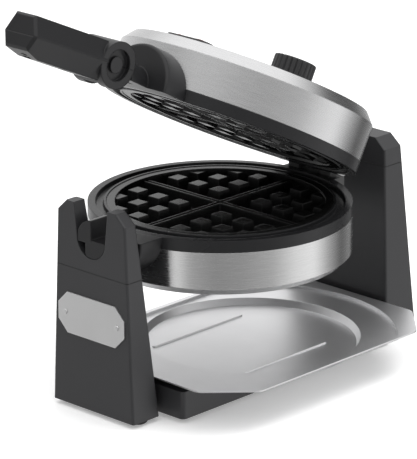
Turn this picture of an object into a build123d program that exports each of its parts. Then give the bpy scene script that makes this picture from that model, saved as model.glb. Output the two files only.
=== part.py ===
"""Rotary waffle maker, modelled as it comes apart on a bench.

All sizes are in millimetres. X runs along the turning axis from the handle end (-X)
to the hinge end (+X), Z is up, and the table is the plane Z = 0.
Everything is drawn about the middle of the iron and written about the middle of the
whole object. The lid is drawn closed and then swung open about its hinge.
"""

import os
from math import cos, radians, sin, sqrt

from build123d import *

# Table, turning axis and poses
foot_height = 4.0
axis_height = 153.0
open_angle = 29.0
handle_droop = 4.4

# Middle of the iron, seen from the middle of the whole object's box
iron_place = (20.7, 7.75, 0)

# Walls and fits
moulded_wall = 3.0
sheet = 1.2
slip_fit = 0.2
running_fit = 0.05
split_gap = 1.0

# Round iron, both halves
iron_radius = 112.0
rim_height = 10.3
rim_lip = 3.2
lower_band_height = 31.5
lower_edge_height = 6.1
lower_edge_run = 6.0
upper_band_height = 32.0
upper_edge_height = 9.5
upper_edge_run = 8.0
upper_post_height = 20.0
cover_sheet = 2.0

# Waffle plate: cavity, pyramids and double ribs
cavity_radius = 89.0
cavity_depth = 13.0
plate_recess = 0.5
plate_floor = 3.0
plate_wall = 2.7
flange_radius = 96.0
flange_thickness = 2.5
stud_pitch = 24.5
stud_base = 16.5
stud_height = 11.5
stud_taper = 11.0
rib_width = 9.0
rib_height = 11.0
rib_taper = 9.0
rib_groove = 3.0
rib_groove_depth = 4.0

# Overflow channel in the rim
channel_inner = 99.0
channel_outer = 104.5
channel_depth = 3.5

# Inside each half
plate_post_radius = 5.0
plate_post_circle = 70.0
plate_post_length = 10.0
heater_circle = 52.0
heater_tube = 3.6
heater_span = 330.0
heater_leg_radius = 2.4
heater_leg_length = 5.5
shield_radius = 94.0
shield_lip = 3.0
cover_post_circle = 101.5
cover_post_radius = 4.0
screw_radius = 1.75
screw_head_radius = 3.6
screw_head_height = 2.0
screw_bite = 12.0
flush_head = 1.2

# Journal and collar at the handle end
slot_radius = 16.3
journal_fit = 0.1
collar_radius = 36.0
collar_edge = 2.5
collar_clearance = 2.0
journal_step = 0.7
side_screw_spread = 14.0
side_screw_drop = 24.0
side_screw_length = 12.0
lobe_edge = 7.0
lobe_web = 3.0

# Handle
pivot_rise = 7.0
boss_radius = 19.5
boss_clearance = 1.2
boss_width = 35.0
lug_width = 15.2
lug_radius = 17.0
cheek_gap = 0.4
pivot_pin_radius = 4.0
pin_head_radius = 7.0
pin_head_height = 2.0
boss_recess_radius = 13.0
boss_recess_depth = 4.0
handle_reach = 100.0
handle_width = 37.0
handle_height = 33.0
handle_flat = 22.0
handle_root = 12.0
handle_end_drop = 5.0
handle_end_run = 17.0
grip_screw_places = (-42.0, -84.0)
grip_boss_radius = 6.0
grip_head_depth = 3.0

# Hinge and rear shaft
hinge_x = 116.5
hinge_rise = 5.5
knuckle_radius = 4.5
hinge_pin_radius = 2.0
inner_knuckle_start = 12.0
inner_knuckle_end = 24.0
outer_knuckle_end = 36.0
knuckle_gap = 0.5
pin_cap = 1.5
bracket_half_width = 30.0
bracket_top = 2.0
bracket_depth = 34.0
bracket_reach = 34.0
bracket_back = 124.0
shaft_flange = 6.0
shaft_flange_radius = 20.0
shaft_radius = 9.0
bush_outer = 13.0
bush_flange = 15.5
bush_length = 8.0
bush_flange_thickness = 2.0
ring_gap = 2.0
ring_thickness = 3.0
shaft_overhang = 3.0

# Front tower
front_outer = -152.6
front_inner_foot = -122.0
front_inner_shoulder = -139.5
front_half_foot = 47.0
front_half_shoulder = 39.1
front_half_top = 28.9
front_seam_drop = 28.3
slot_half_top = 19.5

# Rear tower
rear_inner_foot = 149.5
rear_inner_shoulder = 152.4
rear_outer_foot = 188.7
rear_outer_shoulder = 174.5
rear_half_foot = 59.0
rear_half_shoulder = 51.1
rear_half_top = 40.5
rear_seam_drop = 14.7

# Both towers
shoulder_rise = 19.0
peak_rise = 9.5
tower_corner = 2.0

# Base
deck_front = -115.7
deck_back = 147.0
deck_half_width = 67.7
deck_height = 28.0
deck_corner = 4.0
neck_top = 24.0
front_neck_half = 30.0
rear_neck_half = 34.0
neck_reach = 14.0
boss = 4.5
front_neck_screw_y = 15.0
rear_neck_screw_y = 22.0
front_tower_screw_y = 20.0
rear_tower_screw_y = 43.0
foot_radius = 8.0
foot_stem = 3.0
cover_screw_inset = 14.0

# Name plate
plate_centre_height = 84.8
plate_length = 76.6
plate_height = 35.6
plate_corner = 10.5
plate_sheet = 1.2
rivet_spread = 60.0
rivet_radius = 2.3

# Tray
tray_centre = (11.0, -26.0)
tray_length = 268.0
tray_width = 203.0
tray_cut = 36.0
tray_level = 37.4
recess_radius = 93.0
step_radius = 124.0
step_inset = 5.0
step_drop = 2.5
bead_spread = 98.0
bead_length = 110.0
bead_width = 4.6
bead_height = 1.2
bead_shift = -15.0
press_taper = 30.0
tray_corner = 12.0

# Knob, lamps and thermostat
knob_x = 50.0
knob_radius = 19.0
knob_height = 15.0
knob_lift = 1.0
knob_flutes = 24
flute_radius = 1.1
knob_shaft_radius = 3.0
thermostat_size = 26.0
thermostat_height = 15.0
panel_x = -84.0
panel_length = 46.0
panel_width = 20.0
panel_height = 3.0
lens_radius = 4.0
lens_spread = 22.0

# Cord outlet
gland_height = 26.0
gland_radius = 7.0
gland_bore = 4.0
gland_flange = 9.5
gland_depth = 9.0

shoulder_height = axis_height + shoulder_rise
tower_top = shoulder_height + peak_rise
front_seam = axis_height - front_seam_drop
rear_seam = shoulder_height - rear_seam_drop
split_plane = Plane.XY.offset(axis_height)
hinge_axis = Axis((hinge_x, 0, axis_height + hinge_rise), (0, 1, 0))
journal_radius = slot_radius - journal_fit
half_gap = split_gap / 2
band_inner = iron_radius - sheet
pivot_x = front_outer - boss_clearance - boss_radius
pivot_height = axis_height + pivot_rise
pivot_axis = Axis((pivot_x, 0, pivot_height), (0, 1, 0))
screw_hole = screw_radius + running_fit
upwards = (Align.CENTER, Align.CENTER, Align.MIN)
downwards = (Align.CENTER, Align.CENTER, Align.MAX)


def between(start, end, low, high, height):
    """Straight-line size at a height between two heights."""
    return start + (end - start) * (height - low) / (high - low)


def front_inner(height):
    """Inner face of the front tower at a height."""
    return between(front_inner_foot, front_inner_shoulder, foot_height, shoulder_height, height)


def front_half(height):
    """Half width of the front tower at a height."""
    return between(front_half_foot, front_half_shoulder, foot_height, shoulder_height, height)


def rear_inner(height):
    """Inner face of the rear tower at a height."""
    return between(rear_inner_foot, rear_inner_shoulder, foot_height, shoulder_height, height)


def rear_outer(height):
    """Outer face of the rear tower at a height."""
    return between(rear_outer_foot, rear_outer_shoulder, foot_height, shoulder_height, height)


def rear_half(height):
    """Half width of the rear tower at a height."""
    return between(rear_half_foot, rear_half_shoulder, foot_height, shoulder_height, height)


def tower_section(near, far, half, height, wall=0.0):
    """One level section of a tower, or of its inside when a wall is given."""
    with BuildSketch(Plane.XY.offset(height)) as section:
        with Locations(((near + far) / 2, 0)):
            RectangleRounded(far - near - 2 * wall, 2 * (half - wall), max(tower_corner - wall, 0.5))
    return section.sketch


def front_section(height, wall=0.0, half=None):
    """Level section of the front tower."""
    width = front_half(height) if half is None else half
    return tower_section(front_outer, front_inner(height), width, height, wall)


def rear_section(height, wall=0.0, half=None):
    """Level section of the rear tower."""
    width = rear_half(height) if half is None else half
    return tower_section(rear_inner(height), rear_outer(height), width, height, wall)


def ring_profile(points):
    """Face in the XZ plane from pairs of radius and depth below the split plane."""
    with BuildSketch(Plane.XZ) as profile:
        with BuildLine():
            Polyline([(radius, axis_height - depth) for radius, depth in points], close=True)
        make_face()
    return profile.sketch


def journal_plane(x):
    """Plane across the turning axis: local x is Y, local y is up, extrusion goes towards +X."""
    return Plane(origin=(x, 0, axis_height), x_dir=(0, 1, 0), z_dir=(1, 0, 0))


def side_plane(y, x=0.0, height=0.0):
    """Upright plane along the object: local x is X, local y is up, extrusion goes towards -Y."""
    return Plane(origin=(x, y, height), x_dir=(1, 0, 0), z_dir=(0, -1, 0))


def opened(shape):
    """The same shape swung with the lid from closed to open."""
    return shape.rotate(hinge_axis, open_angle)


def save(shape, name):
    """Move one sub-part into the object's frame, label it and write its file."""
    placed = Pos(*iron_place) * shape
    placed.label = name
    export_step(placed, f"parts/{name}.step")


os.makedirs("parts", exist_ok=True)

# Depths below the split plane that both halves share
rim_bottom = half_gap + rim_height
seat_depth = half_gap + plate_recess + flange_thickness
floor_top = half_gap + plate_recess + cavity_depth
floor_bottom = floor_top + plate_floor
plate_outer = cavity_radius + plate_wall
seat_radius = flange_radius + slip_fit
rim_under = rim_bottom - 1.8
lip_outer = band_inner - slip_fit
lip_inner = lip_outer - moulded_wall
shield_top = floor_bottom + plate_post_length
shield_bottom = shield_top + sheet
lower_band_bottom = rim_bottom + lower_band_height
lower_bottom = lower_band_bottom + lower_edge_height
lower_floor_inside = lower_bottom - 2.4
upper_band_top = rim_bottom + upper_band_height
upper_top = upper_band_top + upper_edge_height
channel_floor = half_gap + channel_depth

trunnion_screw_places = [(-side_screw_spread, -side_screw_drop), (side_screw_spread, -side_screw_drop)]
bracket_screw_places = trunnion_screw_places

rim_points = [
    (iron_radius, half_gap),
    (channel_outer + 1, half_gap),
    (channel_outer, half_gap + channel_depth),
    (channel_inner, half_gap + channel_depth),
    (channel_inner - 0.8, half_gap),
    (seat_radius, half_gap),
    (seat_radius, seat_depth),
    (plate_outer + slip_fit, seat_depth),
    (plate_outer + slip_fit, rim_under),
    (lip_inner, rim_under),
    (lip_inner, rim_bottom + rim_lip),
    (lip_outer, rim_bottom + rim_lip),
    (lip_outer, rim_bottom),
    (iron_radius, rim_bottom),
]

# Lower iron

with BuildPart() as lower_rim:
    add(ring_profile(rim_points))
    revolve(axis=Axis.Z)
    with BuildSketch(Plane.XY.offset(axis_height - rim_under)):
        with PolarLocations(cover_post_circle, 4, start_angle=45):
            Circle(cover_post_radius)
    extrude(amount=-(lower_floor_inside - rim_under))
    with BuildSketch(Plane.XY.offset(axis_height - lower_floor_inside)):
        with PolarLocations(cover_post_circle, 4, start_angle=45):
            Circle(screw_hole)
    extrude(amount=screw_bite + 2, mode=Mode.SUBTRACT)
save(lower_rim.part, "lower_rim")

with BuildPart() as lower_band:
    with BuildSketch(Plane.XY.offset(axis_height - lower_band_bottom)):
        Circle(iron_radius)
        Circle(band_inner, mode=Mode.SUBTRACT)
    extrude(amount=lower_band_height)
    with BuildSketch(journal_plane(-iron_radius)):
        with Locations(*trunnion_screw_places):
            Circle(screw_hole)
    extrude(amount=2 * cover_post_radius, mode=Mode.SUBTRACT)
    with BuildSketch(journal_plane(iron_radius)):
        with Locations(*bracket_screw_places):
            Circle(screw_hole)
    extrude(amount=-2 * cover_post_radius, mode=Mode.SUBTRACT)
save(lower_band.part, "lower_band")

with BuildPart() as lower_cover:
    add(
        ring_profile(
            [
                (0, lower_bottom),
                (iron_radius - lower_edge_run, lower_bottom),
                (iron_radius, lower_band_bottom),
                (lip_outer, lower_band_bottom),
                (lip_outer, lower_band_bottom - rim_lip),
                (lip_inner, lower_band_bottom - rim_lip),
                (lip_inner, lower_band_bottom + 1),
                (iron_radius - lower_edge_run, lower_floor_inside),
                (0, lower_floor_inside),
            ]
        )
    )
    revolve(axis=Axis.Z)
    with BuildSketch(Plane.XY.offset(axis_height - lower_bottom)):
        with PolarLocations(cover_post_circle, 4, start_angle=45):
            Circle(screw_head_radius + slip_fit)
    extrude(amount=flush_head, mode=Mode.SUBTRACT)
    with BuildSketch(Plane.XY.offset(axis_height - lower_bottom)):
        with PolarLocations(cover_post_circle, 4, start_angle=45):
            Circle(screw_hole)
    extrude(amount=4, mode=Mode.SUBTRACT)
save(lower_cover.part, "lower_cover")

# Places of the pyramids: a triangle of whole ones in each quarter, then part ones at the wall
stud_steps = [(1, 1), (1, 2), (1, 3), (2, 1), (2, 2), (3, 1), (2, 3), (3, 2)]
stud_places = [
    (sx * stud_pitch * column, sy * stud_pitch * row)
    for column, row in stud_steps
    for sx in (-1, 1)
    for sy in (-1, 1)
]

with BuildPart() as lower_plate:
    with BuildSketch(Plane.XY.offset(axis_height - floor_top)):
        with Locations(*stud_places):
            Rectangle(stud_base, stud_base)
    extrude(amount=stud_height, taper=stud_taper)
    with BuildSketch(Plane.XY.offset(axis_height - floor_top)):
        Rectangle(2 * cavity_radius, rib_width)
        Rectangle(rib_width, 2 * cavity_radius)
    extrude(amount=rib_height, taper=rib_taper)
    with BuildSketch(Plane.XY.offset(axis_height - floor_top + rib_height)):
        Rectangle(2 * cavity_radius, rib_groove)
        Rectangle(rib_groove, 2 * cavity_radius)
    extrude(amount=-rib_groove_depth, mode=Mode.SUBTRACT)
    with BuildSketch(Plane.XY.offset(axis_height - floor_top)):
        Circle(cavity_radius + 1)
    extrude(amount=cavity_depth, mode=Mode.INTERSECT)
    add(
        ring_profile(
            [
                (0, floor_top),
                (cavity_radius - 1.5, floor_top),
                (cavity_radius, half_gap + plate_recess),
                (flange_radius, half_gap + plate_recess),
                (flange_radius, seat_depth),
                (plate_outer, seat_depth),
                (plate_outer, floor_bottom),
                (0, floor_bottom),
            ]
        )
    )
    revolve(axis=Axis.Z)
    with BuildSketch(Plane.XY.offset(axis_height - floor_bottom)):
        with PolarLocations(plate_post_circle, 4, start_angle=45):
            Circle(plate_post_radius)
    extrude(amount=-plate_post_length)
    with BuildSketch(Plane.XY.offset(axis_height - shield_top)):
        with PolarLocations(plate_post_circle, 4, start_angle=45):
            Circle(screw_hole)
    extrude(amount=plate_post_length - 1, mode=Mode.SUBTRACT)
save(lower_plate.part, "lower_plate")

with BuildPart() as lower_heater:
    with BuildLine() as heater_path:
        CenterArc((0, 0), heater_circle, 15, heater_span)
    with BuildSketch(Plane(origin=heater_path.line @ 0, z_dir=heater_path.line % 0)):
        Circle(heater_tube)
    sweep(path=heater_path.line)
    with Locations((heater_path.line @ 0), (heater_path.line @ 1)):
        Cylinder(heater_leg_radius, heater_leg_length, align=downwards)
heater_level = Pos(0, 0, axis_height - floor_bottom - heater_tube)
save(heater_level * lower_heater.part, "lower_heater")

with BuildPart() as lower_shield:
    add(
        ring_profile(
            [
                (0, shield_top),
                (shield_radius - sheet, shield_top),
                (shield_radius - sheet, shield_top - shield_lip),
                (shield_radius, shield_top - shield_lip),
                (shield_radius, shield_bottom),
                (0, shield_bottom),
            ]
        )
    )
    revolve(axis=Axis.Z)
    with BuildSketch(Plane.XY.offset(axis_height - shield_bottom)):
        with PolarLocations(plate_post_circle, 4, start_angle=45):
            Circle(screw_hole)
    extrude(amount=2 * sheet, mode=Mode.SUBTRACT)
save(lower_shield.part, "lower_shield")

with BuildPart() as lower_plate_screws:
    with BuildSketch(Plane.XY.offset(axis_height - shield_bottom)):
        with PolarLocations(plate_post_circle, 4, start_angle=45):
            Circle(screw_head_radius)
    extrude(amount=-screw_head_height)
    with BuildSketch(Plane.XY.offset(axis_height - shield_bottom)):
        with PolarLocations(plate_post_circle, 4, start_angle=45):
            Circle(screw_radius)
    extrude(amount=sheet + plate_post_length - 2)
save(lower_plate_screws.part, "lower_plate_screws")

with BuildPart() as lower_cover_screws:
    with BuildSketch(Plane.XY.offset(axis_height - lower_bottom)):
        with PolarLocations(cover_post_circle, 4, start_angle=45):
            Circle(screw_head_radius)
    extrude(amount=flush_head)
    with BuildSketch(Plane.XY.offset(axis_height - lower_bottom + flush_head)):
        with PolarLocations(cover_post_circle, 4, start_angle=45):
            Circle(screw_radius)
    extrude(amount=screw_bite)
save(lower_cover_screws.part, "lower_cover_screws")

# Journal in two parts. The lower part keeps the lower half and a tongue on the +Y side,
# the lid's part fills the rest, so the two make one round journal when the lid is shut.

collar_face = front_inner(axis_height - collar_radius) + collar_clearance
journal_end = front_outer + 0.4
screw_seat = sqrt(band_inner**2 - (side_screw_spread + screw_head_radius) ** 2)

with BuildPart() as front_trunnion:
    with BuildSketch(journal_plane(collar_face)):
        Circle(collar_radius)
    extrude(amount=iron_radius - 10)
    fillet(front_trunnion.edges().group_by(Axis.X)[0], collar_edge)
    with Locations((0, 0, axis_height - half_gap)):
        Box(4 * iron_radius, 2 * collar_radius, collar_radius + 1, align=upwards, mode=Mode.SUBTRACT)
    with Locations((0, 0, axis_height)):
        Cylinder(iron_radius, 4 * collar_radius, mode=Mode.SUBTRACT)
    with BuildSketch(journal_plane(journal_end)):
        Circle(journal_radius)
        with Locations((lobe_edge, -half_gap - lobe_web)):
            Rectangle(journal_radius, journal_radius, align=(Align.MIN, Align.MAX), mode=Mode.SUBTRACT)
        with Locations((journal_step / 2, -half_gap)):
            Rectangle(2 * journal_radius, 2 * journal_radius, align=(Align.MAX, Align.MIN), mode=Mode.SUBTRACT)
    extrude(amount=collar_face - journal_end)
    with BuildSketch(journal_plane(-screw_seat)):
        with Locations(*trunnion_screw_places):
            Circle(screw_hole)
    extrude(amount=-side_screw_length, mode=Mode.SUBTRACT)
save(front_trunnion.part, "front_trunnion")

with BuildPart() as side_screws:
    for places, x, along in ((trunnion_screw_places, -screw_seat, -1), (bracket_screw_places, screw_seat, 1)):
        with BuildSketch(journal_plane(x)):
            with Locations(*places):
                Circle(screw_head_radius)
        extrude(amount=-along * screw_head_height)
        with BuildSketch(journal_plane(x)):
            with Locations(*places):
                Circle(screw_radius)
        extrude(amount=along * (side_screw_length - 1))
save(side_screws.part, "side_screws")

# Rear bracket: it carries the shaft in line with the journal, and the inner hinge knuckles

hinge_height = axis_height + hinge_rise
shaft_start = bracket_back + shaft_flange
bush_start = rear_inner(axis_height) - 1.5
ring_start = bush_start + bush_length + ring_gap
shaft_end = ring_start + ring_thickness + shaft_overhang

with BuildPart() as rear_bracket:
    with BuildSketch(Plane.XY.offset(axis_height - bracket_top)):
        with Locations((bracket_back, 0)):
            Rectangle(bracket_reach, 2 * bracket_half_width, align=(Align.MAX, Align.CENTER))
        Circle(iron_radius, mode=Mode.SUBTRACT)
    extrude(amount=-bracket_depth)
    with BuildSketch(journal_plane(bracket_back)):
        Circle(shaft_flange_radius)
    extrude(amount=shaft_flange)
    with BuildSketch(journal_plane(shaft_start)):
        Circle(shaft_radius)
    extrude(amount=shaft_end - shaft_start)
    for side in (-1, 1):
        middle = side * (inner_knuckle_start + inner_knuckle_end) / 2
        with Locations((hinge_x, middle, hinge_height)):
            Cylinder(knuckle_radius, inner_knuckle_end - inner_knuckle_start, rotation=(90, 0, 0))
        with Locations((hinge_x, middle, hinge_height)):
            Box(
                2 * knuckle_radius,
                inner_knuckle_end - inner_knuckle_start,
                hinge_rise + bracket_top + 1,
                align=downwards,
            )
    with Locations((hinge_x, 0, hinge_height)):
        Cylinder(hinge_pin_radius, 4 * inner_knuckle_end, rotation=(90, 0, 0), mode=Mode.SUBTRACT)
    with BuildSketch(journal_plane(screw_seat)):
        with Locations(*bracket_screw_places):
            Circle(screw_hole)
    extrude(amount=side_screw_length, mode=Mode.SUBTRACT)
save(rear_bracket.part, "rear_bracket")

with BuildPart() as hinge_pin:
    pin_half = outer_knuckle_end + knuckle_gap
    with Locations((hinge_x, 0, hinge_height)):
        Cylinder(hinge_pin_radius, 2 * pin_half, rotation=(90, 0, 0))
    for side in (-1, 1):
        with Locations((hinge_x, side * (pin_half + pin_cap / 2), hinge_height)):
            Cylinder(hinge_pin_radius + 1.2, pin_cap, rotation=(90, 0, 0))
save(hinge_pin.part, "hinge_pin")

with BuildPart() as shaft_ring:
    with BuildSketch(journal_plane(ring_start)):
        Circle(bush_outer)
        Circle(shaft_radius, mode=Mode.SUBTRACT)
        with Locations((0, bush_outer)):
            Rectangle(2 * shaft_radius - 6, 2 * bush_outer, mode=Mode.SUBTRACT)
    extrude(amount=ring_thickness)
save(shaft_ring.part, "shaft_ring")

# Lid, drawn shut. The plate and what heats it are the lower ones seen in the split plane.

with BuildPart() as upper_rim:
    add(ring_profile([(radius, -depth) for radius, depth in rim_points]))
    revolve(axis=Axis.Z)
    with BuildSketch(split_plane.offset(rim_under)):
        with PolarLocations(cover_post_circle, 4, start_angle=45):
            Circle(cover_post_radius)
    extrude(amount=upper_post_height - rim_under)
    with BuildSketch(split_plane):
        with PolarLocations(cover_post_circle, 4, start_angle=45):
            Circle(screw_hole)
    extrude(amount=upper_post_height, mode=Mode.SUBTRACT)
save(opened(upper_rim.part), "upper_rim")

with BuildPart() as upper_band:
    with BuildSketch(split_plane.offset(rim_bottom)):
        Circle(iron_radius)
        Circle(band_inner, mode=Mode.SUBTRACT)
    extrude(amount=upper_band_height)
save(opened(upper_band.part), "upper_band")

with BuildPart() as upper_cover:
    add(
        ring_profile(
            [
                (0, -upper_top),
                (iron_radius - upper_edge_run, -upper_top),
                (iron_radius, -upper_band_top),
                (lip_outer, -upper_band_top),
                (lip_outer, rim_lip - upper_band_top),
                (lip_inner, rim_lip - upper_band_top),
                (lip_inner, -upper_band_top - 1),
                (iron_radius - upper_edge_run - cover_sheet, cover_sheet - upper_top),
                (0, cover_sheet - upper_top),
            ]
        )
    )
    revolve(axis=Axis.Z)
    with BuildSketch(split_plane.offset(upper_post_height)):
        with PolarLocations(cover_post_circle, 4, start_angle=45):
            Circle(cover_post_radius)
    extrude(amount=upper_top - cover_sheet - upper_post_height)
    with BuildSketch(split_plane.offset(upper_post_height)):
        with PolarLocations(cover_post_circle, 4, start_angle=45):
            Circle(screw_hole)
    extrude(amount=screw_bite, mode=Mode.SUBTRACT)
    with BuildSketch(split_plane.offset(upper_top)):
        with Locations((knob_x, 0)):
            Circle(knob_shaft_radius + slip_fit)
        with Locations((panel_x, -lens_spread / 2), (panel_x, lens_spread / 2)):
            Circle(lens_radius)
    extrude(amount=-cover_sheet, mode=Mode.SUBTRACT)
save(opened(upper_cover.part), "upper_cover")

with BuildPart() as upper_plate:
    add(lower_plate.part.mirror(split_plane))
save(opened(upper_plate.part), "upper_plate")

with BuildPart() as upper_heater:
    add((heater_level * lower_heater.part).mirror(split_plane))
save(opened(upper_heater.part), "upper_heater")

with BuildPart() as upper_shield:
    add(lower_shield.part.mirror(split_plane))
save(opened(upper_shield.part), "upper_shield")

with BuildPart() as upper_plate_screws:
    add(lower_plate_screws.part.mirror(split_plane))
save(opened(upper_plate_screws.part), "upper_plate_screws")

with BuildPart() as upper_cover_screws:
    with BuildSketch(split_plane.offset(channel_floor)):
        with PolarLocations(cover_post_circle, 4, start_angle=45):
            Circle(screw_radius + 0.6)
    extrude(amount=-flush_head)
    with BuildSketch(split_plane.offset(channel_floor)):
        with PolarLocations(cover_post_circle, 4, start_angle=45):
            Circle(screw_radius)
    extrude(amount=upper_post_height + screw_bite - channel_floor - 2)
save(opened(upper_cover_screws.part), "upper_cover_screws")

with BuildPart() as thermostat:
    with BuildSketch(split_plane.offset(upper_top - cover_sheet)):
        with Locations((knob_x, 0)):
            RectangleRounded(thermostat_size, thermostat_size, 2)
            Circle(knob_shaft_radius + running_fit, mode=Mode.SUBTRACT)
    extrude(amount=-thermostat_height)
save(opened(thermostat.part), "thermostat")

with BuildPart() as lamp_panel:
    with BuildSketch(split_plane.offset(upper_top)):
        with Locations((panel_x, 0)):
            RectangleRounded(panel_width, panel_length, panel_width / 2 - 1)
        with Locations((panel_x, -lens_spread / 2), (panel_x, lens_spread / 2)):
            Circle(lens_radius, mode=Mode.SUBTRACT)
    extrude(amount=panel_height)
    panel_rim = lamp_panel.faces().sort_by(Axis.Z)[-1].outer_wire().edges()
    fillet(panel_rim, panel_height / 2)
save(opened(lamp_panel.part), "lamp_panel")

with BuildPart() as lamp_lenses:
    with BuildSketch(split_plane.offset(upper_top - cover_sheet)):
        with Locations((panel_x, -lens_spread / 2), (panel_x, lens_spread / 2)):
            Circle(lens_radius)
    extrude(amount=cover_sheet + panel_height + 1)
    fillet(lamp_lenses.faces().group_by(Axis.Z)[-1].edges(), 0.8)
save(opened(lamp_lenses.part), "lamp_lenses")

with BuildPart() as handle_bracket:
    with BuildSketch(journal_plane(collar_face)):
        Circle(collar_radius)
    extrude(amount=iron_radius - 10)
    fillet(handle_bracket.edges().group_by(Axis.X)[0], collar_edge)
    with Locations((0, 0, axis_height + half_gap)):
        Box(4 * iron_radius, 2 * collar_radius, collar_radius + 1, align=downwards, mode=Mode.SUBTRACT)
    with Locations((0, 0, axis_height)):
        Cylinder(iron_radius, 4 * collar_radius, mode=Mode.SUBTRACT)
    with BuildSketch(journal_plane(journal_end)):
        Circle(journal_radius)
        with Locations((-journal_step / 2, half_gap)):
            Rectangle(journal_radius, journal_radius, align=(Align.MAX, Align.MIN), mode=Mode.INTERSECT)
    extrude(amount=collar_face - journal_end)
    with Locations((pivot_x, -journal_step / 2, axis_height + half_gap)):
        Box(
            journal_end + 1 - pivot_x,
            (lug_width - journal_step) / 2,
            pivot_rise + half_gap + 6,
            align=(Align.MIN, Align.MAX, Align.MIN),
        )
    with Locations((pivot_x, 0, pivot_height)):
        Cylinder(lug_radius, lug_width, rotation=(90, 0, 0))
        Cylinder(pivot_pin_radius, 2 * lug_width, rotation=(90, 0, 0), mode=Mode.SUBTRACT)
save(opened(handle_bracket.part), "handle_bracket")

pin_half_length = boss_width / 2 - boss_recess_depth + running_fit

with BuildPart() as pivot_pin:
    with Locations((pivot_x, 0, pivot_height)):
        Cylinder(pivot_pin_radius, 2 * pin_half_length, rotation=(90, 0, 0))
    for side in (-1, 1):
        with Locations((pivot_x, side * (pin_half_length + pin_head_height / 2), pivot_height)):
            Cylinder(pin_head_radius, pin_head_height, rotation=(90, 0, 0))
save(opened(pivot_pin.part), "pivot_pin")

with BuildPart() as hinge_leaf:
    with BuildSketch(split_plane.offset(knuckle_radius + hinge_rise + 1)):
        Circle(iron_radius + 2.4)
        Circle(iron_radius, mode=Mode.SUBTRACT)
        with Locations((iron_radius, 0)):
            Rectangle(30, 2 * outer_knuckle_end, mode=Mode.INTERSECT)
    extrude(amount=15)
    for side in (-1, 1):
        width = outer_knuckle_end - inner_knuckle_end - knuckle_gap
        middle = side * (outer_knuckle_end - width / 2)
        with Locations((hinge_x, middle, hinge_height)):
            Cylinder(knuckle_radius, width, rotation=(90, 0, 0))
        with Locations((hinge_x, middle, axis_height + half_gap + 0.5)):
            Box(20, width, hinge_rise + knuckle_radius + 2, align=(Align.MAX, Align.CENTER, Align.MIN))
    with Locations((0, 0, axis_height)):
        Cylinder(iron_radius, 4 * collar_radius, mode=Mode.SUBTRACT)
    with Locations((hinge_x, 0, hinge_height)):
        Cylinder(hinge_pin_radius + running_fit, 4 * outer_knuckle_end, rotation=(90, 0, 0), mode=Mode.SUBTRACT)
save(opened(hinge_leaf.part), "hinge_leaf")

# Browning knob

with BuildPart() as knob:
    with BuildSketch(split_plane.offset(upper_top + knob_lift)):
        with Locations((knob_x, 0)):
            Circle(knob_radius)
            with PolarLocations(knob_radius, knob_flutes):
                Circle(flute_radius, mode=Mode.SUBTRACT)
    extrude(amount=knob_height)
    with BuildSketch(split_plane.offset(upper_top + knob_lift + knob_height)):
        with Locations((knob_x - knob_radius / 2, 0)):
            Rectangle(knob_radius, 2)
    extrude(amount=-1, mode=Mode.SUBTRACT)
    with BuildSketch(split_plane.offset(upper_top + knob_lift)):
        with Locations((knob_x, 0)):
            Circle(knob_shaft_radius)
    extrude(amount=knob_height - moulded_wall, mode=Mode.SUBTRACT)
save(opened(knob.part), "knob")

with BuildPart() as knob_shaft:
    with BuildSketch(split_plane.offset(upper_top - cover_sheet - thermostat_height + 2)):
        with Locations((knob_x, 0)):
            Circle(knob_shaft_radius)
    extrude(amount=thermostat_height - 2 + cover_sheet + knob_lift + knob_height - moulded_wall)
save(opened(knob_shaft.part), "knob_shaft")

# Folding handle, drawn with its pivot at the origin and its grip along -X

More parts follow.
